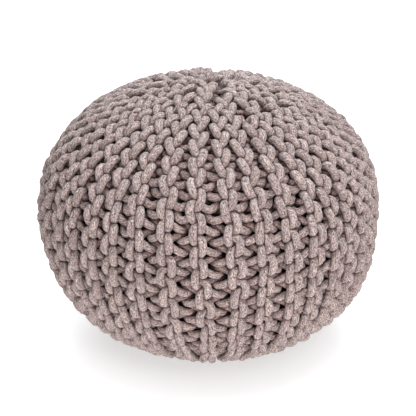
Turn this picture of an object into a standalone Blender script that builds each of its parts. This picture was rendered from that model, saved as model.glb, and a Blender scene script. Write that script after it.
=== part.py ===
"""A round knitted pouf: a filled floor cushion in a cover of thick cotton cord.

The cover is knitted in ridges that run from the gathered top, over the girth, to the flat base.
Cover and filling are one closed solid, with the ridges raised in its surface. The size is
measured over the crests of the ridges. Lengths are in metres and +Z is up; the origin is on
the floor, under the middle of the pouf, and the front of the pouf faces -Y.
"""

import math

import bmesh
import bpy

# The round body, over the crests of the ridges.
GIRTH_RADIUS = 0.250
CROWN_HEIGHT = 0.196
BELLY_HEIGHT = 0.194
# The depth that the lower half would have, if the floor didn't flatten it.
BELLY_REACH = 0.206
# The fullness of the upper and the lower half: 2 is an ellipse, and more is squarer.
CROWN_POWER = 2.20
BELLY_POWER = 2.34

# The hollow in the middle of the top, where the knitting is gathered shut.
GATHER_RADIUS = 0.012
DIMPLE_RADIUS = 0.020
DIMPLE_DEPTH = 0.009

# The ridges. Each is about two cords wide, and stands one cord above the furrow beside it.
RIDGE_COUNT = 40
RIDGE_RELIEF = 0.010
# How far a ridge leans round the pouf on its way from the top to the base.
RIDGE_LEAN = math.radians(11.3)
# The longitudes of the ridges at the front, as uneven as they were knitted, in degrees at the
# middle of their length: 0 faces -Y, and a plus is towards +X. The others are evenly spaced.
FRONT_RIDGES = (
    -76.0, -66.5, -56.0, -47.5, -38.6, -30.4, -21.9, -11.9, -2.2,
    8.2, 16.8, 25.6, 34.4, 42.5, 50.8, 59.0, 66.5,
)
# The ridges rise to their full relief over these stretches of radius, at the top and the base.
TOP_FADE = (0.014, 0.085)
BASE_FADE = (0.112, 0.150)

# One ridge in section: the place across it, as a share of the way to the next ridge, and the
# share of the relief that is cut away there.
RIDGE_SECTION = (
    (0.00, 0.0),
    (0.20, 0.3),
    (0.38, 1.0),
    (0.62, 1.0),
    (0.80, 0.3),
)

# Soft lumps of the filling under the cover: height, waves round the pouf, waves from the base
# to the top, and the longitude at which the waves start.
LUMPS = (
    (0.0016, 2, 1.0, 0.4),
    (0.0012, 3, 2.0, 1.9),
    (0.0008, 5, 3.0, 0.9),
    (0.0020, 1, 3.0, 0.0),
)

# How finely the surface is divided from the top to the floor.
CROWN_RINGS = 12
BELLY_RINGS = 12

CORD_COLOUR = (0.35, 0.29, 0.27, 1.0)
CORD_ROUGHNESS = 0.95


def smooth_share(value, low, high):
    """0 below low, 1 above high, and a smooth rise between them."""
    share = min(max((value - low) / (high - low), 0.0), 1.0)
    return share * share * (3.0 - 2.0 * share)


def rounded_profile(turn, depth, power):
    """The point of a superellipse at an angle from its pole, and its outward normal there.

    The point is (radius, distance from the girth), and both halves use it.
    """
    radius = GIRTH_RADIUS * math.sin(turn) ** (2.0 / power)
    distance = depth * max(math.cos(turn), 0.0) ** (2.0 / power)
    across = (radius / GIRTH_RADIUS) ** (power - 1.0) / GIRTH_RADIUS
    along = (distance / depth) ** (power - 1.0) / depth
    size = math.hypot(across, along)
    return radius, distance, across / size, along / size


def profile_rings():
    """(radius, height, normal outwards, normal upwards) of each ring, from the top to the floor."""
    rings = []
    first = math.asin((GATHER_RADIUS / GIRTH_RADIUS) ** (CROWN_POWER / 2.0))
    for ring in range(CROWN_RINGS):
        turn = first + (math.pi / 2.0 - first) * ring / CROWN_RINGS
        radius, rise, outwards, upwards = rounded_profile(turn, CROWN_HEIGHT, CROWN_POWER)
        rings.append((radius, BELLY_HEIGHT + rise, outwards, upwards))
    last = math.acos((BELLY_HEIGHT / BELLY_REACH) ** (BELLY_POWER / 2.0))
    for ring in range(BELLY_RINGS + 1):
        turn = math.pi / 2.0 + (last - math.pi / 2.0) * ring / BELLY_RINGS
        radius, drop, outwards, downwards = rounded_profile(turn, BELLY_REACH, BELLY_POWER)
        rings.append((radius, max(BELLY_HEIGHT - drop, 0.0), outwards, -downwards))
    return rings


def lengths_along(rings):
    """The share of the way from the top to the floor at which each ring lies."""
    reached = [0.0]
    for above, below in zip(rings, rings[1:]):
        reached.append(reached[-1] + math.dist(above[:2], below[:2]))
    return [length / reached[-1] for length in reached]


def ridge_longitudes():
    """The longitude of each ridge, once round the pouf."""
    front = [math.radians(angle) for angle in FRONT_RIDGES]
    hidden = RIDGE_COUNT - len(front)
    gap = (front[0] + 2.0 * math.pi - front[-1]) / (hidden + 1)
    return front + [front[-1] + gap * (place + 1) for place in range(hidden)]


def surface_columns():
    """(longitude, share of the ridges' relief that is cut away) of each column of points."""
    ridges = ridge_longitudes()
    columns = []
    for crest, next_crest in zip(ridges, ridges[1:] + [ridges[0] + 2.0 * math.pi]):
        for share, furrow in RIDGE_SECTION:
            columns.append((crest + share * (next_crest - crest), furrow))
    return columns


def ridge_strength(radius, height):
    """The share of the full relief that the ridges have on a ring."""
    if height > BELLY_HEIGHT:
        return smooth_share(radius, *TOP_FADE)
    return smooth_share(radius, *BASE_FADE)


def lump_height(longitude, height):
    """How far the filling pushes the cover out at a place; nothing at the floor and the top."""
    share = height / (BELLY_HEIGHT + CROWN_HEIGHT)
    total = 0.0
    for rise, waves_round, waves_up, start in LUMPS:
        total += rise * math.sin(waves_round * longitude + start) * math.sin(math.pi * waves_up * share)
    return total * math.sin(math.pi * share)


def surface_point(ring, lean, column):
    """The point of the knitted surface on a ring, in a column."""
    radius, height, outwards, upwards = ring
    longitude, furrow = column
    angle = longitude + lean
    push = lump_height(angle, height) - RIDGE_RELIEF * ridge_strength(radius, height) * furrow
    dimple = 0.0
    if height > BELLY_HEIGHT:
        dimple = DIMPLE_DEPTH * math.exp(-((radius / DIMPLE_RADIUS) ** 2))
    reach = radius + push * outwards
    return (reach * math.sin(angle), -reach * math.cos(angle), height + push * upwards - dimple)


def surface_points():
    """Each ring of points, from the top to the floor, with the pouf's box centred on the Z axis."""
    rings = profile_rings()
    columns = surface_columns()
    grid = []
    for ring, share in zip(rings, lengths_along(rings)):
        lean = RIDGE_LEAN * (share - 0.5)
        grid.append([surface_point(ring, lean, column) for column in columns])
    xs = [point[0] for row in grid for point in row]
    ys = [point[1] for row in grid for point in row]
    middle_x = (min(xs) + max(xs)) / 2.0
    middle_y = (min(ys) + max(ys)) / 2.0
    return [[(x - middle_x, y - middle_y, z) for x, y, z in row] for row in grid]


def cord_material():
    """Heathered grey-brown cotton cord."""
    material = bpy.data.materials.new("knitted_cord")
    material.use_nodes = True
    shader = material.node_tree.nodes["Principled BSDF"]
    shader.inputs["Base Color"].default_value = CORD_COLOUR
    shader.inputs["Roughness"].default_value = CORD_ROUGHNESS
    shader.inputs["Metallic"].default_value = 0.0
    return material


def add_pouf():
    """The filled cover: rings of points joined by faces, and closed at the top and the base."""
    build = bmesh.new()
    rows = [[build.verts.new(point) for point in row] for row in surface_points()]
    for above, below in zip(rows, rows[1:]):
        count = len(above)
        for place in range(count):
            after = (place + 1) % count
            build.faces.new((above[place], below[place], below[after], above[after]))
    build.faces.new(rows[0])
    build.faces.new(list(reversed(rows[-1])))
    bmesh.ops.recalc_face_normals(build, faces=build.faces)
    mesh = bpy.data.meshes.new("knitted_pouf")
    build.to_mesh(mesh)
    build.free()
    mesh.shade_smooth()
    mesh.materials.append(cord_material())
    pouf = bpy.data.objects.new("knitted_pouf", mesh)
    bpy.context.scene.collection.objects.link(pouf)


def main():
    for item in list(bpy.data.objects):
        bpy.data.objects.remove(item, do_unlink=True)
    add_pouf()


main()
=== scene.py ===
import math

import bpy
import numpy as np
from mathutils import Matrix, Vector, kdtree


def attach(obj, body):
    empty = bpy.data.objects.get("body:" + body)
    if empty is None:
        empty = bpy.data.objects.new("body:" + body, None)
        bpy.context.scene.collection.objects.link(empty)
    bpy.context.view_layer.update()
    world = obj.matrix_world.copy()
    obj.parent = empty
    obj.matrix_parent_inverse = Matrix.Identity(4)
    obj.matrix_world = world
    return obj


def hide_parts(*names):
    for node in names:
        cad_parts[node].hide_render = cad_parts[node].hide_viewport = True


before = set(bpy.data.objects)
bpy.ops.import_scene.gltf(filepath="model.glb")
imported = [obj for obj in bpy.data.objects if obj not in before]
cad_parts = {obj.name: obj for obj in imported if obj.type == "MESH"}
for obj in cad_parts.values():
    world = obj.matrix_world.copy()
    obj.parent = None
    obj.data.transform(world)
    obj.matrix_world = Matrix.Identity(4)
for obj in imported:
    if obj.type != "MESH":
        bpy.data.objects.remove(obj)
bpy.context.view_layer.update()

# The knitted pouf, stitch by stitch. Rows of thick cotton cord run from the gathered top over the
# girth to the base, and two rows make one ridge of garter stitch. Each row's middle line comes
# from a formula for the stitch, laid over the solid's form. A few rounds of pushing then lessen
# how far the cords cut into each other, without clearing it, most of all under the base. Last, a
# tube is drawn along each line. Metres, +Z up, front -Y.
#
# Places on the body are given by the length from the top along its profile, the longitude, and
# the distance outside its skin. Longitude 0 faces -Y, and a plus is towards +X.

# ---- The body -------------------------------------------------------------------------------

# The round body, over the crests of the ridges, as in the solid.
GIRTH_RADIUS = 0.250
CROWN_HEIGHT = 0.196
BELLY_HEIGHT = 0.194
# The depth that the lower half would have, if the floor didn't flatten it.
BELLY_REACH = 0.206
# The fullness of the upper and the lower half: 2 is an ellipse, and more is squarer.
CROWN_POWER = 2.20
BELLY_POWER = 2.34
# The hollow in the middle of the top.
DIMPLE_RADIUS = 0.020
DIMPLE_DEPTH = 0.009

# Soft lumps of the filling: height, waves round, waves from base to top, and where they start.
LUMPS = (
    (0.0016, 2, 1.0, 0.4),
    (0.0012, 3, 2.0, 1.9),
    (0.0008, 5, 3.0, 0.9),
    (0.0020, 1, 3.0, 0.0),
)

# Two mounds and the dip between them at the far rim of the crown, which the photo shows in its
# outline: height, x, y, and the half-widths along x and y. They fade out over these heights.
CROWN_MOUNDS = (
    (0.0030, -0.020, 0.084, 0.018, 0.050),
    (-0.0060, 0.008, 0.085, 0.007, 0.050),
    (0.0020, 0.053, 0.070, 0.018, 0.040),
)
MOUNDS_FADE = (BELLY_HEIGHT, BELLY_HEIGHT + 0.5 * CROWN_HEIGHT)

# How finely the profile is worked out: points of the crown, the belly and the base, and then
# points at even steps of its length.
CROWN_POINTS = 400
BELLY_POINTS = 400
BASE_POINTS = 60
EVEN_POINTS = 1200


def smooth_share(value, low, high):
    """0 below low, 1 above high, and a smooth rise between them."""
    share = np.clip((value - low) / (high - low), 0.0, 1.0)
    return share * share * (3.0 - 2.0 * share)


def profile():
    """Length, radius, height and outward normal along the body, from the top to the base's middle."""
    crown = np.linspace(0.0, math.pi / 2.0, CROWN_POINTS)
    crown_r = GIRTH_RADIUS * np.sin(crown) ** (2.0 / CROWN_POWER)
    crown_z = BELLY_HEIGHT + CROWN_HEIGHT * np.cos(crown) ** (2.0 / CROWN_POWER)
    crown_z = crown_z - DIMPLE_DEPTH * np.exp(-((crown_r / DIMPLE_RADIUS) ** 2))
    last = math.acos((BELLY_HEIGHT / BELLY_REACH) ** (BELLY_POWER / 2.0))
    belly = np.linspace(math.pi / 2.0, last, BELLY_POINTS)[1:]
    belly_r = GIRTH_RADIUS * np.sin(belly) ** (2.0 / BELLY_POWER)
    belly_z = BELLY_HEIGHT - BELLY_REACH * np.cos(belly) ** (2.0 / BELLY_POWER)
    base_r = np.linspace(belly_r[-1], 0.0, BASE_POINTS)[1:]
    r = np.concatenate([crown_r, belly_r, base_r])
    z = np.concatenate([crown_z, belly_z, np.zeros(len(base_r))])
    s = np.concatenate([[0.0], np.cumsum(np.hypot(np.diff(r), np.diff(z)))])
    even = np.linspace(0.0, s[-1], EVEN_POINTS)
    r, z = np.interp(even, s, r), np.interp(even, s, z)
    dr, dz = np.gradient(r, even), np.gradient(z, even)
    size = np.hypot(dr, dz)
    return even, r, z, -dz / size, dr / size


S, R, Z, NORMAL_R, NORMAL_Z = profile()
LENGTH = S[-1]


def lump(theta, height):
    """How far the filling pushes the cover out at a place."""
    share = np.clip(height / (BELLY_HEIGHT + CROWN_HEIGHT), 0.0, 1.0)
    total = 0.0
    for rise, around, up, start in LUMPS:
        total = total + rise * np.sin(around * theta + start) * np.sin(math.pi * up * share)
    return total * np.sin(math.pi * share)


def crown_mound(r, theta, z):
    """How far the mounds and the dip of the crown move the cover out at a place."""
    x, y = r * np.sin(theta), -r * np.cos(theta)
    total = 0.0
    for rise, middle_x, middle_y, wide, deep in CROWN_MOUNDS:
        away = ((x - middle_x) / wide) ** 2 + ((y - middle_y) / deep) ** 2
        total = total + rise * np.exp(-away)
    return total * smooth_share(z, *MOUNDS_FADE)


def place(s, theta, n):
    """The point at a length from the top, a longitude, and a distance outside the body."""
    r, z = np.interp(s, S, R), np.interp(s, S, Z)
    n = n + lump(theta, z) + crown_mound(r, theta, z)
    reach = r + n * np.interp(s, S, NORMAL_R)
    height = z + n * np.interp(s, S, NORMAL_Z)
    return np.stack([reach * np.sin(theta), -reach * np.cos(theta), height], -1)


# ---- The ridges and their ends --------------------------------------------------------------

# As in the solid: longitudes in degrees at the middle of their length, and their lean.
RIDGE_COUNT = 40
RIDGE_LEAN = math.radians(11.3)
FRONT_RIDGES = (
    -76.0, -66.5, -56.0, -47.5, -38.6, -30.4, -21.9, -11.9, -2.2,
    8.2, 16.8, 25.6, 34.4, 42.5, 50.8, 59.0, 66.5,
)

# The stitches of one row, from the first at the top to the last at the middle of the base.
STITCH = 0.0296
STITCHES = 24
FIRST_STITCH = 0.0068
# How many stitches short of the top, and of the middle of the base, odd ridges and every other
# even ridge turn back, with the share of each, which keeps the knitting from crowding there.
SHORT_ROWS = (
    (((3, 4), (0.40, 0.60)), ((1, 2, 3), (0.3, 0.5, 0.2))),
    (((2, 3), (0.50, 0.50)), ((1, 2, 3), (0.5, 0.3, 0.2))),
)
# A ridge may meet the first, second or fourth ridge beside it where the nearer ones have ended,
# and the eighth beside it always counts as there.
NEXT_RIDGES = (1, 2, 4, 8)
# How much length a ridge takes to close up beside one that has ended, and the shares of it that
# lie beyond the end at the top and at the base.
CLOSING = 0.036
CLOSING_BEYOND_TOP = 0.20
CLOSING_BEYOND_BASE = 0.55

rng = np.random.default_rng(7)


def ridge_longitudes():
    """The longitude of each ridge, once round the pouf."""
    front = [math.radians(angle) for angle in FRONT_RIDGES]
    hidden = RIDGE_COUNT - len(front)
    gap = (front[0] + 2.0 * math.pi - front[-1]) / (hidden + 1)
    return np.array(front + [front[-1] + gap * (number + 1) for number in range(hidden)])


def ridge_ends():
    """How many stitches each ridge stops short of the top, and of the middle of the base.

    Of the ridges that SHORT_ROWS leaves out, every other one stops one stitch short.
    """
    ends = np.zeros((RIDGE_COUNT, 2), int)
    for ridge in range(RIDGE_COUNT):
        for pole in (0, 1):
            if ridge % 4:
                counts, shares = SHORT_ROWS[pole][0 if ridge % 2 else 1]
                ends[ridge, pole] = rng.choice(counts, p=shares)
            elif ridge % 8:
                ends[ridge, pole] = 1
    return ends


RIDGES = ridge_longitudes()
ENDS = ridge_ends()


def alive(ridge, s):
    """From 1 where a ridge is knitted to 0 beyond its ends."""
    short_top, short_base = ENDS[ridge % RIDGE_COUNT]
    share = np.ones_like(s)
    if short_top:
        start = FIRST_STITCH + STITCH * short_top - CLOSING_BEYOND_TOP * CLOSING
        share = share * smooth_share(s, start, start + CLOSING)
    if short_base:
        stop = FIRST_STITCH + STITCH * (STITCHES - short_base) + CLOSING_BEYOND_BASE * CLOSING
        share = share * (1.0 - smooth_share(s, stop - CLOSING, stop))
    return share


def longitude(ridge):
    """The longitude of a ridge, also past once round."""
    return RIDGES[ridge % RIDGE_COUNT] + 2.0 * math.pi * (ridge // RIDGE_COUNT)


def gap_to_next(ridge, toward, s):
    """The angle from a ridge to its neighbour, which widens where nearer ridges have ended."""
    gap = np.zeros_like(s)
    left = np.ones_like(s)
    for ahead in NEXT_RIDGES:
        here = ridge + toward * ahead
        share = np.ones_like(s) if ahead == NEXT_RIDGES[-1] else alive(here, s)
        gap = gap + left * share * abs(longitude(here) - longitude(ridge))
        left = left * (1.0 - share)
    return gap


# ---- How uneven the knitting is -------------------------------------------------------------

# Single stitches: along the row, outwards, sideways, in fullness and in thickness.
SLIP = 0.0010
RISE = 0.0009
SWAY = 0.0010
FULLNESS = 0.05
THICKNESS = 0.03
# How much of a stitch's unevenness is its own, and how much comes from each row beside it.
OWN = 0.8
BESIDE = 0.35
# Each ridge also strays sideways from its line, in two waves along its length.
STRAY = 0.0016
STRAY_WAVES = (0.045, 0.080)


def uneven(size):
    """A random number for each half stitch of each row, a little like those beside it."""
    values = rng.normal(0.0, size, (2 * RIDGE_COUNT, 2 * STITCHES + 1))
    around = np.roll(values, 1, 0) + np.roll(values, -1, 0)
    return OWN * values + BESIDE * around


UNEVEN = [uneven(size) for size in (SLIP, RISE, SWAY, FULLNESS, THICKNESS)]
STRAY_STARTS = rng.uniform(0.0, 2.0 * math.pi, (RIDGE_COUNT, len(STRAY_WAVES)))


def stray(ridge, s):
    """How far a ridge strays sideways from its line."""
    waves = zip(STRAY_WAVES, STRAY_STARTS[ridge])
    return sum(STRAY * np.sin(s / wave + start) for wave, start in waves)


# ---- The stitches ---------------------------------------------------------------------------

# The knitting is stretched thin round the girth and is slack above it: the lengths from the top
# where it is slack and where it is stretched. At the sides it stays slack further down, and is
# never as thin as at the front and the back; a side is known by the sine of its longitude.
SLACK_TO = 0.200
STRETCHED_FROM = 0.330
SIDE_LONGER = 0.070
SIDE_SLACK = 0.60
SIDE_FROM = (0.40, 0.85)

# The cord's thickness where the knitting is stretched and where it is slack, and the share by
# which its legs are thinner where it is stretched.
CORD = 0.0106
CORD_SLACK = 0.0110
LEG_THINNING = 0.10

# The form of a stitch. Arcs lie on the crests and legs cross the furrows. Where a measure has two
# values, they are for slack and for stretched knitting.
# The rows beside each other overlap by a share of the gap between them and a little more.
OVERLAP_MOST = 0.0120
OVERLAP_SHARE = 0.50
OVERLAP_LEAST = 0.0092
# How far the arcs bow out along the row, as a share of a stitch, and how square they are.
BOW = (0.20, 0.28)
SQUARENESS = (-0.35, 0.35)
# How far the two legs of a stitch are moved to the side, one each way.
LEAN = (0.0070, 0.0008)
# How far the furrows lie below the crests, and the power of the swing between them: with more,
# the arcs stay up for less of the stitch.
DEPTH = 0.0200
DIVE = (1.8, 2.1)
# How far one leg rises over the next row's and the other sinks under it, and how far both sink.
LEG_RISE = 0.0035
LEG_SINK = 0.0060
BOTH_SINK = (0.0058, 0.0)
# The furrows are shallower where the cover turns under the pouf: how much, and over what lengths.
SHALLOWER = 0.7
SHALLOWER_FROM = (0.56, 0.63)
# How far a row's ends are tucked in, over what part of a stitch.
END_TUCK = 0.009
END_TUCK_OVER = 0.5
# Near the poles, where the body's radius is less, angles are worked out as if it were this.
LEAST_RADIUS = 0.012

# Points of the cord's middle line for each stitch.
POINTS = 20


def between(pair, stretched):
    """A measure that has one value in slack knitting and another where it is stretched."""
    slack, tight = pair
    return slack + (tight - slack) * stretched


def stretch(line, middle):
    """How far the knitting is stretched at a place, and how thin its cord is there, from 0 to 1."""
    beside = smooth_share(np.abs(np.sin(line)), *SIDE_FROM)
    stretched = smooth_share(middle - SIDE_LONGER * beside, SLACK_TO, STRETCHED_FROM)
    return stretched, stretched * (1.0 - SIDE_SLACK * beside)


def aside(phase, half_gap, full, stretched):
    """How far the cord swings to either side: to its arcs on the crest and in the furrow."""
    overlap = np.minimum(OVERLAP_MOST, OVERLAP_SHARE * half_gap + OVERLAP_LEAST)
    square = np.cos(phase) * (1.0 + between(SQUARENESS, stretched) * np.sin(phase) ** 2)
    swing = -0.5 * (half_gap + overlap) * (1.0 + full) * square
    return swing + between(LEAN, stretched) * np.sin(phase)


def outwards(phase, toward, middle, stretched):
    """How far outside the body the cord lies.

    The arcs are on top at the crest and below in the furrow, and of the two legs of a stitch one
    passes over the next row's and the other under it.
    """
    deep = 1.0 - SHALLOWER * smooth_share(middle, *SHALLOWER_FROM)
    swing = np.cos(phase)
    forward = -toward * np.sin(phase)
    dived = np.sign(swing) * np.abs(swing) ** between(DIVE, stretched)
    n = -0.5 * (CORD + DEPTH * deep) + toward * 0.5 * DEPTH * deep * dived
    n = n + deep * np.where(forward > 0.0, LEG_RISE, LEG_SINK) * forward
    return n - between(BOTH_SINK, stretched) * np.sin(phase) ** 2


def row_of_knitting(ridge, side):
    """One row of stitches, on the ridge's left (side 0) or right (side 1) flank.

    Gives the cord's middle line, its radius, and the body's skin and normal beside each point.
    """
    toward = 2 * side - 1
    first, last = ENDS[ridge, 0], STITCHES - ENDS[ridge, 1]
    t = np.arange(first * POINTS, last * POINTS + 1) / POINTS
    phase = 2.0 * math.pi * t
    middle = FIRST_STITCH + STITCH * t
    halves = np.arange(2 * STITCHES + 1)
    slip, rise, sway, full, thick = (
        np.interp(2.0 * t, halves, field[2 * ridge + side]) for field in UNEVEN
    )
    quarter = gap_to_next(ridge, toward, middle) / 4.0
    line = longitude(ridge) + toward * quarter + RIDGE_LEAN * (middle / LENGTH - 0.5)
    stretched, thin = stretch(line, middle)
    bow = between(BOW, stretched) * (1.0 + full) * np.sin(2.0 * phase)
    s = np.clip(middle + STITCH * bow + slip, 0.0, LENGTH)
    r = np.maximum(np.interp(s, S, R), LEAST_RADIUS)
    across = aside(phase, 2.0 * quarter * r, full, stretched) + sway + stray(ridge, middle)
    n = rise + outwards(phase, toward, middle, stretched)
    n = n - END_TUCK * (1.0 - smooth_share(np.minimum(t - t[0], t[-1] - t), 0.0, END_TUCK_OVER))
    radius = 0.5 * between((CORD_SLACK, CORD), thin) * (1.0 + thick)
    radius = radius * (1.0 - LEG_THINNING * thin * np.sin(phase) ** 2)
    theta = line + across / r
    points = place(s, theta, n)
    points[:, 2] = np.maximum(points[:, 2], radius)
    skin = place(s, theta, np.zeros(len(s)))
    # A point that is one metre outside the skin gives the normal its length of 1.
    normal = place(s, theta, np.ones(len(s))) - skin
    return points, radius, skin, normal


# ---- The cord's surface ---------------------------------------------------------------------

# The sides of the cord's tube, and the angles of their corners.
SIDES = 10
TURN = np.linspace(0.0, 2.0 * math.pi, SIDES, endpoint=False)


def carried_along(tangents):
    """A direction across the cord at each point, turned no more than the cord bends."""
    across = np.zeros_like(tangents)
    direction = np.array([0.0, 0.0, 1.0])
    for number, tangent in enumerate(tangents):
        direction = direction - tangent * (direction @ tangent)
        direction = direction / np.linalg.norm(direction)
        across[number] = direction
    return across


def tube(line, radius):
    """The rings of points round a cord's middle line."""
    tangents = np.gradient(line, axis=0)
    tangents /= np.linalg.norm(tangents, axis=1, keepdims=True)
    across = carried_along(tangents)
    other = np.cross(tangents, across)
    spokes = across[:, None] * np.cos(TURN)[:, None] + other[:, None] * np.sin(TURN)[:, None]
    return line[:, None] + radius[:, None, None] * spokes


# ---- Settling the cords against each other --------------------------------------------------

# How often the cords are pushed, and how often in each of these rounds their steps are mended.
ROUNDS = 12
LENGTH_ROUNDS = 2
# Cords are pushed where their middle lines are nearer than this share of the sum of their radii.
TOUCH = 0.85
# How strongly a touching pair is pushed apart, and how strongly each cord keeps the lengths of
# its steps, its smoothness and its place.
PUSH = 1.3
KEEP_LENGTH = 0.25
KEEP_SMOOTH = 0.2
KEEP_PLACE = 0.05
# Points at either end of a row that no push, pull or smoothing moves.
FIXED_POINTS = 3
# How far under the skin a cord's middle line may go, and how far above it its surface may come.
DEEPEST = 0.034
HIGHEST = 0.002
# Pairs are sought within this many mean radii, and not within this many points of one cord.
PAIR_REACH = 2.8
PAIR_APART = 4
# Where no other cord is near, the gap beside a cord counts as this wide.
WIDE_GAP = 0.010
# Keeps a distance from being 0.
TINY = 1e-9


def touching_pairs(points, radius, row):
    """Pairs of points of the cords that are near enough to touch soon."""
    tree = kdtree.KDTree(len(points))
    places = points.tolist()
    for number, point in enumerate(places):
        tree.insert(point, number)
    tree.balance()
    reach = PAIR_REACH * float(radius.mean())
    first, second = [], []
    for number, point in enumerate(places):
        for _, other, _ in tree.find_range(point, reach):
            if other > number and (row[other] != row[number] or other > number + PAIR_APART):
                first.append(number)
                second.append(other)
    return np.array(first), np.array(second)


def gaps_beside(rings, points, radius, row):
    """How far each point on the cords' surface is from the nearest other cord."""
    gaps = np.full(rings.shape[:2], WIDE_GAP)
    first, second = touching_pairs(points, radius, row)
    for one, other in ((first, second), (second, first)):
        for side in range(SIDES):
            gap = np.linalg.norm(rings[one, side] - points[other], axis=1) - radius[other]
            np.minimum.at(gaps[:, side], one, gap)
    return np.maximum(gaps, 0.0)


def pushed_apart(points, first, second, touch, free):
    """The points, with the two of each touching pair moved away from each other."""
    count = len(points)
    way = points[second] - points[first]
    distance = np.linalg.norm(way, axis=1) + TINY
    near = distance < touch
    one, two = first[near], second[near]
    push = way[near] * (0.5 * (touch[near] - distance[near]) / distance[near])[:, None]
    move = np.stack([
        np.bincount(two, push[:, axis], count) - np.bincount(one, push[:, axis], count)
        for axis in range(3)
    ], -1)
    hits = np.bincount(one, minlength=count) + np.bincount(two, minlength=count)
    return points + PUSH * free * move / np.maximum(hits, 1)[:, None]


def with_lengths_kept(points, link, link_length, free):
    """The points, with each step along the cords brought back towards its first length."""
    points = points.copy()
    for _ in range(LENGTH_ROUNDS):
        step = points[link + 1] - points[link]
        length = np.linalg.norm(step, axis=1)
        fix = step * (KEEP_LENGTH * (length - link_length) / length)[:, None]
        points[link] += free[link] * fix
        points[link + 1] -= free[link + 1] * fix
    return points


def smoothing(points, inner):
    """How far the points move to take a part of each bend out of the cords."""
    bend = KEEP_SMOOTH * (0.5 * (points[inner - 1] + points[inner + 1]) - points[inner])
    move = np.zeros_like(points)
    move[inner] += bend
    move[inner - 1] -= 0.5 * bend
    move[inner + 1] -= 0.5 * bend
    return move


def held_to_body(points, radius, skin, normal):
    """The points, kept between the filling and the body's skin, and above the floor."""
    depth = np.einsum("ij,ij->i", points - skin, normal)
    kept = np.clip(depth, -DEEPEST, HIGHEST - radius)
    points = points + normal * (kept - depth)[:, None]
    points[:, 2] = np.maximum(points[:, 2], radius)
    return points


def settle(rows):
    """The rows, with their cords pushed apart where they cut into each other; some overlap stays.

    Gives for each row its middle line, its radius, the rings of points on its surface, and how
    deep each of these lies under the body's skin and how far it is from the nearest other cord.
    """
    points, radius, skin, normal = (np.concatenate(column) for column in zip(*rows))
    sizes = [len(row[0]) for row in rows]
    starts = np.cumsum([0] + sizes)
    spans = list(zip(starts, starts[1:]))
    row = np.repeat(np.arange(len(rows)), sizes)
    home = points.copy()
    free = np.ones((len(points), 1))
    for start, stop in spans:
        free[start:start + FIXED_POINTS] = 0.0
        free[stop - FIXED_POINTS:stop] = 0.0
    # The points that have a next one in their row, and those that lie between two others.
    link = np.where(row[:-1] == row[1:])[0]
    inner = np.where(row[:-2] == row[2:])[0] + 1
    link_length = np.linalg.norm(points[link + 1] - points[link], axis=1)
    first, second = touching_pairs(points, radius, row)
    touch = TOUCH * (radius[first] + radius[second])
    for _ in range(ROUNDS):
        points = pushed_apart(points, first, second, touch, free)
        points = with_lengths_kept(points, link, link_length, free)
        points = points + free * (smoothing(points, inner) + KEEP_PLACE * (home - points))
        points = held_to_body(points, radius, skin, normal)
    rings = np.concatenate([tube(points[start:stop], radius[start:stop]) for start, stop in spans])
    depths = -np.einsum("ijk,ik->ij", rings - skin[:, None], normal)
    gaps = gaps_beside(rings, points, radius, row)
    columns = (points, radius, rings, depths, gaps)
    return [tuple(column[start:stop] for column in columns) for start, stop in spans]


# ---- The meshes -----------------------------------------------------------------------------

# The texture map of a piece: its cords cut into strips that lie in rows, with a margin between,
# and in one more row the ends of the cords, as circles of this share of the cord's thickness.
STRIP_MARGIN = 0.06
STRIP_USED = 1.0 - 2.0 * STRIP_MARGIN
END_CIRCLE = 0.4
# Keeps the patterns of two rows of cord apart.
ROW_STEP = 3.3


def mesh_object(name, points, faces, material):
    """A smooth mesh object from points and a list of arrays of faces."""
    mesh = bpy.data.meshes.new(name)
    mesh.vertices.add(len(points))
    mesh.vertices.foreach_set("co", points.astype(np.float32).ravel())
    corners = np.concatenate([array.ravel() for array in faces]).astype(np.int32)
    sizes = np.concatenate([np.full(len(array), array.shape[1]) for array in faces])
    starts = np.concatenate([[0], np.cumsum(sizes)[:-1]]).astype(np.int32)
    mesh.loops.add(len(corners))
    mesh.loops.foreach_set("vertex_index", corners)
    mesh.polygons.add(len(sizes))
    mesh.polygons.foreach_set("loop_start", starts)
    mesh.update(calc_edges=True)
    mesh.shade_smooth()
    mesh.materials.append(material)
    piece = bpy.data.objects.new(name, mesh)
    bpy.context.scene.collection.objects.link(piece)
    return piece


def tube_faces(first, rings):
    """The sides of a tube whose points start at a number, and the faces that close its ends."""
    side = np.arange(SIDES)
    after = (side + 1) % SIDES
    ring = first + SIDES * np.arange(rings - 1)[:, None]
    quads = (ring + side, ring + after, ring + SIDES + after, ring + SIDES + side)
    ends = (first + side[::-1], first + SIDES * (rings - 1) + side)
    return np.stack(quads, -1).reshape(-1, 4), ends


def place_in_cord(along, radius, number):
    """The place of each surface point in its own straightened cord, for the fibres."""
    where = np.zeros((len(along), SIDES, 3))
    where[..., 0] = (along + ROW_STEP * number)[:, None]
    where[..., 1] = radius[:, None] * np.cos(TURN)
    where[..., 2] = radius[:, None] * np.sin(TURN)
    return where.reshape(-1, 3)


def strip_map(along, strip, strips, width):
    """Where the sides of a cord lie in the texture map, from its lengths along all the strips."""
    side = np.arange(SIDES)
    row = np.floor(along[:-1] / strip)
    low = ((along[:-1] - row * strip) / width)[:, None] * np.ones(SIDES)
    high = ((along[1:] - row * strip) / width)[:, None] * np.ones(SIDES)
    near = row[:, None] + STRIP_MARGIN + STRIP_USED * side / SIDES
    far = near + STRIP_USED / SIDES
    near, far = near / (strips + 1), far / (strips + 1)
    return np.stack([low, near, low, far, high, far, high, near], -1).reshape(-1, 2)


def end_map(end, ends, strips, width):
    """Where the face that closes a cord's end lies in the texture map."""
    middle = np.array([(end + 0.5) / ends, (strips + 0.5) / (strips + 1)])
    return middle + np.stack([np.cos(TURN), np.sin(TURN)], -1) * END_CIRCLE * CORD / width


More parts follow.
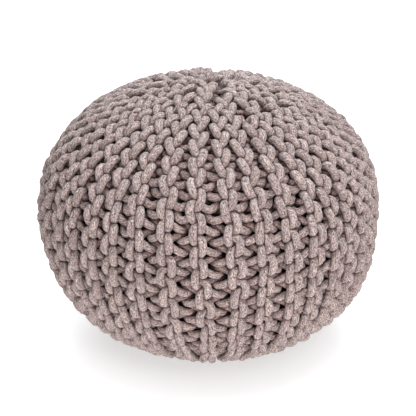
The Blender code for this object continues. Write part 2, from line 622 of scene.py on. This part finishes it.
def add_measure(piece, name, kind, field, values):
    """Values for the points of a piece, which its material reads by their name."""
    layer = piece.data.attributes.new(name, kind, "POINT")
    layer.data.foreach_set(field, values.astype(np.float32).ravel())


def cords(name, rows, first_row, material):
    """A closed tube of cord along each row, in one mesh."""
    lines, radii, rings, depths, gaps = zip(*rows)
    steps = [np.linalg.norm(np.diff(line, axis=0), axis=1) for line in lines]
    total = sum(step.sum() for step in steps)
    strips = math.ceil(math.sqrt(total * STRIP_USED / (math.pi * CORD)))
    strip = total / strips
    width = strip + 2.0 * max(step.max() for step in steps)
    sides, ends, places, side_map, ends_map = [], [], [], [], []
    base, reached = 0, 0.0
    for number, (line, radius) in enumerate(zip(lines, radii)):
        along = np.concatenate([[0.0], np.cumsum(steps[number])])
        places.append(place_in_cord(along, radius, first_row + number))
        quads, closings = tube_faces(base, len(line))
        sides.append(quads)
        ends.extend(closings)
        side_map.append(strip_map(reached + along, strip, strips, width))
        for end in (2 * number, 2 * number + 1):
            ends_map.append(end_map(end, 2 * len(rows), strips, width))
        base += SIDES * len(line)
        reached += along[-1]
    points = np.concatenate(rings).reshape(-1, 3)
    piece = mesh_object(name, points, [np.concatenate(sides), np.stack(ends)], material)
    add_measure(piece, "cord_place", "FLOAT_VECTOR", "vector", np.concatenate(places))
    add_measure(piece, "cord_depth", "FLOAT", "value", np.concatenate(depths))
    add_measure(piece, "cord_gap", "FLOAT", "value", np.concatenate(gaps))
    layer = piece.data.uv_layers.new(name="OFBake")
    corners = np.concatenate(side_map + ends_map).astype(np.float32)
    layer.data.foreach_set("uv", corners.ravel())
    return piece


# ---- The materials --------------------------------------------------------------------------

# The cord's fibres: one slow turn along this length, and the noises that draw them, in waves for
# each metre along and across the cord, and with this detail.
TWIST_LENGTH = 0.110
STRANDS = (250.0, 1100.0, 2.0)
FLECKS = (550.0, 950.0, 3.0)
TINTS = (650.0, 1000.0, 1.0)
CLOUDS = (14.0, 60.0, 1.0)

# The strands' own colours, for the values of their noise, and what the other noises multiply
# them by.
STRAND_COLOURS = (
    (0.30, (0.234, 0.175, 0.164)),
    (0.50, (0.350, 0.266, 0.251)),
    (0.70, (0.470, 0.381, 0.363)),
)
FLECK_COLOURS = (
    (0.30, (0.05, 0.04, 0.04)),
    (0.43, (0.68, 0.66, 0.66)),
    (0.54, (1.12, 1.12, 1.12)),
    (0.68, (1.95, 2.00, 1.98)),
)
TINT_COLOURS = (
    (0.30, (1.12, 0.96, 0.90)),
    (0.50, (1.0, 1.0, 1.0)),
    (0.70, (0.88, 1.03, 1.06)),
)
CLOUD_COLOURS = (
    (0.30, (0.90, 0.89, 0.89)),
    (0.70, (1.08, 1.08, 1.08)),
)

# Painted shade: little light gets through the cords' fuzz to their depths, and to where they touch,
# so the colour is darkened there.
# These are the depths and the gaps that count, and what is left of the colour over them.
PAINTED_SHADE_DEPTHS = (0.006, 0.026)
DEPTH_PAINTED_SHADE = (
    (0.10, (1.0, 1.0, 1.0)),
    (0.48, (0.78, 0.70, 0.69)),
    (0.68, (0.30, 0.222, 0.222)),
    (0.85, (0.06, 0.045, 0.04)),
)
PAINTED_SHADE_GAPS = (0.0, 0.004)
GAP_PAINTED_SHADE = (
    (0.02, (0.22, 0.17, 0.16)),
    (0.30, (0.72, 0.64, 0.635)),
    (0.80, (1.0, 1.0, 1.0)),
)

# The roughness over the middle values of the flecks' noise, and the heights of the bumps.
FLECK_VALUES = (0.3, 0.7)
ROUGHNESS = (1.0, 0.82)
STRAND_BUMP = 0.0012
FLECK_BUMP = 0.0005
BUMP_STRENGTH = 0.8
SPECULAR = 0.15
SHEEN = 0.15
SHEEN_ROUGHNESS = 0.5

# The filling's surface shows in the gaps between the cords; its near-black colour is painted shade,
# for the little light that gets there.
INSIDE_NOISE = (300.0, 300.0, 2.0)
INSIDE_PAINTED_SHADE = (
    (0.3, (0.010, 0.008, 0.007)),
    (0.7, (0.030, 0.024, 0.022)),
)

WHITE = (1.0, 1.0, 1.0, 1.0)


def new_material(name):
    """A material with its node tree and its shader."""
    material = bpy.data.materials.new(name)
    material.use_nodes = True
    return material, material.node_tree, material.node_tree.nodes["Principled BSDF"]


def attribute(tree, name):
    """The node of a mesh attribute."""
    node = tree.nodes.new("ShaderNodeAttribute")
    node.attribute_name = name
    return node


def stretched_noise(tree, place_socket, along, across, detail):
    """Noise that is long along the cord and narrow across it: waves for each metre."""
    scale = tree.nodes.new("ShaderNodeVectorMath")
    scale.operation = "MULTIPLY"
    scale.inputs[1].default_value = (along, across, across)
    noise = tree.nodes.new("ShaderNodeTexNoise")
    noise.inputs["Scale"].default_value = 1.0
    noise.inputs["Detail"].default_value = detail
    tree.links.new(place_socket, scale.inputs[0])
    tree.links.new(scale.outputs["Vector"], noise.inputs["Vector"])
    return noise.outputs["Fac"]


def ramp(tree, socket, stops):
    """Colours for a value from 0 to 1."""
    node = tree.nodes.new("ShaderNodeValToRGB")
    elements = node.color_ramp.elements
    while len(elements) < len(stops):
        elements.new(0.5)
    for element, (position, colour) in zip(elements, stops):
        element.position = position
        element.color = (*colour, 1.0)
    tree.links.new(socket, node.inputs["Fac"])
    return node.outputs["Color"]


def multiplied(tree, first, second):
    """Two colours multiplied."""
    node = tree.nodes.new("ShaderNodeMix")
    node.data_type = "RGBA"
    node.blend_type = "MULTIPLY"
    node.inputs["Factor"].default_value = 1.0
    tree.links.new(first, node.inputs["A"])
    tree.links.new(second, node.inputs["B"])
    return node.outputs["Result"]


def mapped(tree, socket, from_range, to_range):
    """A value moved smoothly from one range to another."""
    node = tree.nodes.new("ShaderNodeMapRange")
    node.interpolation_type = "SMOOTHSTEP"
    node.inputs["From Min"].default_value = from_range[0]
    node.inputs["From Max"].default_value = from_range[1]
    node.inputs["To Min"].default_value = to_range[0]
    node.inputs["To Max"].default_value = to_range[1]
    tree.links.new(socket, node.inputs["Value"])
    return node.outputs["Result"]


def bumped(tree, height, distance, normal):
    """The surface's normal, turned by the slopes of a height, on another bump's normal or None."""
    bump = tree.nodes.new("ShaderNodeBump")
    bump.inputs["Distance"].default_value = distance
    bump.inputs["Strength"].default_value = BUMP_STRENGTH
    tree.links.new(height, bump.inputs["Height"])
    if normal:
        tree.links.new(normal, bump.inputs["Normal"])
    return bump.outputs["Normal"]


def twisted_place(tree):
    """The place in the cord, with the cross-section turned as the fibres are twisted."""
    where = attribute(tree, "cord_place").outputs["Vector"]
    split = tree.nodes.new("ShaderNodeSeparateXYZ")
    tree.links.new(where, split.inputs[0])
    angle = tree.nodes.new("ShaderNodeMath")
    angle.operation = "MULTIPLY"
    angle.inputs[1].default_value = 2.0 * math.pi / TWIST_LENGTH
    tree.links.new(split.outputs["X"], angle.inputs[0])
    turned = tree.nodes.new("ShaderNodeVectorRotate")
    turned.rotation_type = "X_AXIS"
    tree.links.new(where, turned.inputs["Vector"])
    tree.links.new(angle.outputs[0], turned.inputs["Angle"])
    return turned.outputs["Vector"]


def cord_material():
    """Heathered cotton: dark, brown, grey and pale fibres that lie along the cord, with painted shade
    in its depths and where it meets other cords.
    """
    material, tree, shader = new_material("heathered_cotton")
    where = twisted_place(tree)
    strands = stretched_noise(tree, where, *STRANDS)
    flecks = stretched_noise(tree, where, *FLECKS)
    tints = stretched_noise(tree, where, *TINTS)
    clouds = stretched_noise(tree, where, *CLOUDS)
    # Painted shade: the cord's depth under the skin and its gap to other cords darken the colour.
    depth = mapped(tree, attribute(tree, "cord_depth").outputs["Fac"], PAINTED_SHADE_DEPTHS, (0.0, 1.0))
    gap = mapped(tree, attribute(tree, "cord_gap").outputs["Fac"], PAINTED_SHADE_GAPS, (0.0, 1.0))
    colour = ramp(tree, strands, STRAND_COLOURS)
    for value, stops in (
        (flecks, FLECK_COLOURS),
        (tints, TINT_COLOURS),
        (clouds, CLOUD_COLOURS),
        (depth, DEPTH_PAINTED_SHADE),
        (gap, GAP_PAINTED_SHADE),
    ):
        colour = multiplied(tree, colour, ramp(tree, value, stops))
    tree.links.new(colour, shader.inputs["Base Color"])
    tree.links.new(mapped(tree, flecks, FLECK_VALUES, ROUGHNESS), shader.inputs["Roughness"])
    shader.inputs["Specular IOR Level"].default_value = SPECULAR
    shader.inputs["Sheen Weight"].default_value = SHEEN
    shader.inputs["Sheen Roughness"].default_value = SHEEN_ROUGHNESS
    normal = bumped(tree, flecks, FLECK_BUMP, bumped(tree, strands, STRAND_BUMP, None))
    tree.links.new(normal, shader.inputs["Normal"])
    return material


def filling_shade_material():
    """What shows in the gaps between the cords: a near-black surface, painted shade for the little
    light there.
    """
    material, tree, shader = new_material("painted_shade_filling")
    where = tree.nodes.new("ShaderNodeTexCoord").outputs["Object"]
    # Painted shade: the filling's near-black colour.
    colour = ramp(tree, stretched_noise(tree, where, *INSIDE_NOISE), INSIDE_PAINTED_SHADE)
    tree.links.new(colour, shader.inputs["Base Color"])
    shader.inputs["Roughness"].default_value = 1.0
    shader.inputs["Specular IOR Level"].default_value = 0.0
    return material


# ---- The pieces -----------------------------------------------------------------------------

PIECES = 8
# How finely the filling's surface is divided.
INSIDE_ROUND = 96
INSIDE_ALONG = 90


def inside(material):
    """The surface of the filling, under the cords, closed from the top to the base."""
    s = np.linspace(0.0, LENGTH, INSIDE_ALONG)[1:-1]
    theta = np.linspace(0.0, 2.0 * math.pi, INSIDE_ROUND, endpoint=False)
    points = place(*np.meshgrid(s, theta, indexing="ij"), -DEEPEST)
    points[..., 2] = np.maximum(points[..., 2], CORD)
    ring = INSIDE_ROUND * np.arange(len(s) - 1)[:, None]
    column = np.arange(INSIDE_ROUND)
    after = (column + 1) % INSIDE_ROUND
    quads = (ring + column, ring + INSIDE_ROUND + column, ring + INSIDE_ROUND + after, ring + after)
    last = INSIDE_ROUND * (len(s) - 1)
    faces = [np.stack(quads, -1).reshape(-1, 4), np.stack([column, last + column[::-1]])]
    return mesh_object("filling", points.reshape(-1, 3), faces, material)


def dress():
    """The whole pouf: eight pieces of knitting round the filling."""
    material = cord_material()
    rows = settle([row_of_knitting(ridge, side) for ridge in range(RIDGE_COUNT) for side in (0, 1)])
    share = len(rows) // PIECES
    for number in range(PIECES):
        first = number * share
        piece = cords(f"knitting_{number + 1}", rows[first:first + share], first, material)
        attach(piece, "root")
        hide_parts("knitted_pouf")
    filling = inside(filling_shade_material())
    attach(filling, "root")
    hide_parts("knitted_pouf")


# ---- The camera -----------------------------------------------------------------------------

# At the photo's angle. The last sizes are in pixels of a picture 416 pixels wide.
ELEVATION = math.radians(21.5)
DISTANCE = 1.29
ROLL = math.radians(0.9)
SENSOR = 36.0
IMAGE = 416.0
FOCAL_PX = 868.0
DOWN_PX = 2.8
LEFT_PX = 1.4


def add_camera():
    """Aims a little beside the middle of the girth, as the photo is framed."""
    lens = bpy.data.cameras.new("camera")
    lens.sensor_width = SENSOR
    lens.lens = FOCAL_PX / IMAGE * SENSOR
    camera = bpy.data.objects.new("camera", lens)
    bpy.context.scene.collection.objects.link(camera)
    back = Vector((0.0, -math.cos(ELEVATION), math.sin(ELEVATION)))
    up = Vector((0.0, math.sin(ELEVATION), math.cos(ELEVATION)))
    right = Vector((1.0, 0.0, 0.0))
    middle = Vector((0.0, 0.0, BELLY_HEIGHT))
    pixel = DISTANCE / FOCAL_PX
    eye = middle + back * DISTANCE
    target = middle - up * DOWN_PX * pixel - right * LEFT_PX * pixel
    look = (target - eye).to_track_quat("-Z", "Y").to_matrix().to_4x4()
    camera.matrix_world = Matrix.Translation(eye) @ look @ Matrix.Rotation(ROLL, 4, "Z")
    bpy.context.scene.camera = camera


# ---- The stage ------------------------------------------------------------------------------

# The pale floor: its own glow stands for a lit backdrop. It is lower near the pouf and grows between
# these radii, a painted shadow round the base beside the real one.
STAGE_HALF = 15.0
STAGE_CORNERS = ((-1, -1), (1, -1), (1, 1), (-1, 1))
FLOOR_COLOUR = (0.50, 0.50, 0.50, 1.0)
FLOOR_ROUGHNESS = 0.9
PAINTED_SHADOW_GLOW = 0.57
GLOW_FAR = 0.97
PAINTED_SHADOW_RADII = (0.13, 0.30)
BACKDROP_HEIGHT = 8.0

# Plain soft studio light. The softboxes: place, size, power and colour.
WORLD_STRENGTH = 0.08
SOFTBOXES = (
    ("overhead", (0.2, 0.0, 1.8), 1.0, 37.0, (0.88, 0.965, 1.0)),
    ("key", (0.7, -2.1, 2.0), 1.1, 20.0, (1.0, 1.0, 1.0)),
    ("fill", (0.15, -1.4, 0.15), 0.7, 12.8, (0.99, 0.995, 1.01)),
    ("back", (-0.4, 2.2, 1.4), 1.3, 45.0, (0.93, 0.98, 1.0)),
)
LIT_POINT = Vector((0.0, 0.0, 0.2))


def stage_points(height):
    """The corners of the stage at a height."""
    return [(STAGE_HALF * x, STAGE_HALF * y, height) for x, y in STAGE_CORNERS]


def add_floor():
    """A plain floor out to where the picture ends, with a painted shadow round the pouf."""
    material, tree, shader = new_material("pale_floor")
    floor = mesh_object("floor", np.array(stage_points(0.0)), [np.array([[0, 1, 2, 3]])], material)
    length = tree.nodes.new("ShaderNodeVectorMath")
    length.operation = "LENGTH"
    tree.links.new(tree.nodes.new("ShaderNodeTexCoord").outputs["Object"], length.inputs[0])
    # Less glow near the pouf: a painted shadow.
    glow = mapped(tree, length.outputs["Value"], PAINTED_SHADOW_RADII, (PAINTED_SHADOW_GLOW, GLOW_FAR))
    tree.links.new(glow, shader.inputs["Emission Strength"])
    shader.inputs["Base Color"].default_value = FLOOR_COLOUR
    shader.inputs["Roughness"].default_value = FLOOR_ROUGHNESS
    shader.inputs["Emission Color"].default_value = WHITE


def add_backdrop():
    """White walls round the floor, for a low camera to see; they light nothing."""
    material, _, shader = new_material("white_backdrop")
    points = np.array(stage_points(0.0) + stage_points(BACKDROP_HEIGHT))
    walls = np.array([(side, (side + 1) % 4, (side + 1) % 4 + 4, side + 4) for side in range(4)])
    backdrop = mesh_object("backdrop", points, [walls], material)
    backdrop.visible_diffuse = False
    backdrop.visible_glossy = False
    backdrop.visible_shadow = False
    shader.inputs["Base Color"].default_value = WHITE
    shader.inputs["Emission Color"].default_value = WHITE
    shader.inputs["Emission Strength"].default_value = 1.0


def add_world():
    """A dim white sky all round, and colours shown without a film look."""
    world = bpy.data.worlds.new("studio")
    world.use_nodes = True
    background = world.node_tree.nodes["Background"]
    background.inputs["Color"].default_value = WHITE
    background.inputs["Strength"].default_value = WORLD_STRENGTH
    bpy.context.scene.world = world
    bpy.context.scene.view_settings.view_transform = "Standard"


def add_softboxes():
    """Square lamps, turned to the pouf."""
    for name, spot, size, power, colour in SOFTBOXES:
        lamp = bpy.data.lights.new(name, "AREA")
        lamp.shape = "SQUARE"
        lamp.size = size
        lamp.energy = power
        lamp.color = colour
        light = bpy.data.objects.new(name, lamp)
        bpy.context.scene.collection.objects.link(light)
        light.location = spot
        light.rotation_euler = (LIT_POINT - Vector(spot)).to_track_quat("-Z", "Y").to_euler()


dress()
add_camera()
add_floor()
add_backdrop()
add_world()
add_softboxes()
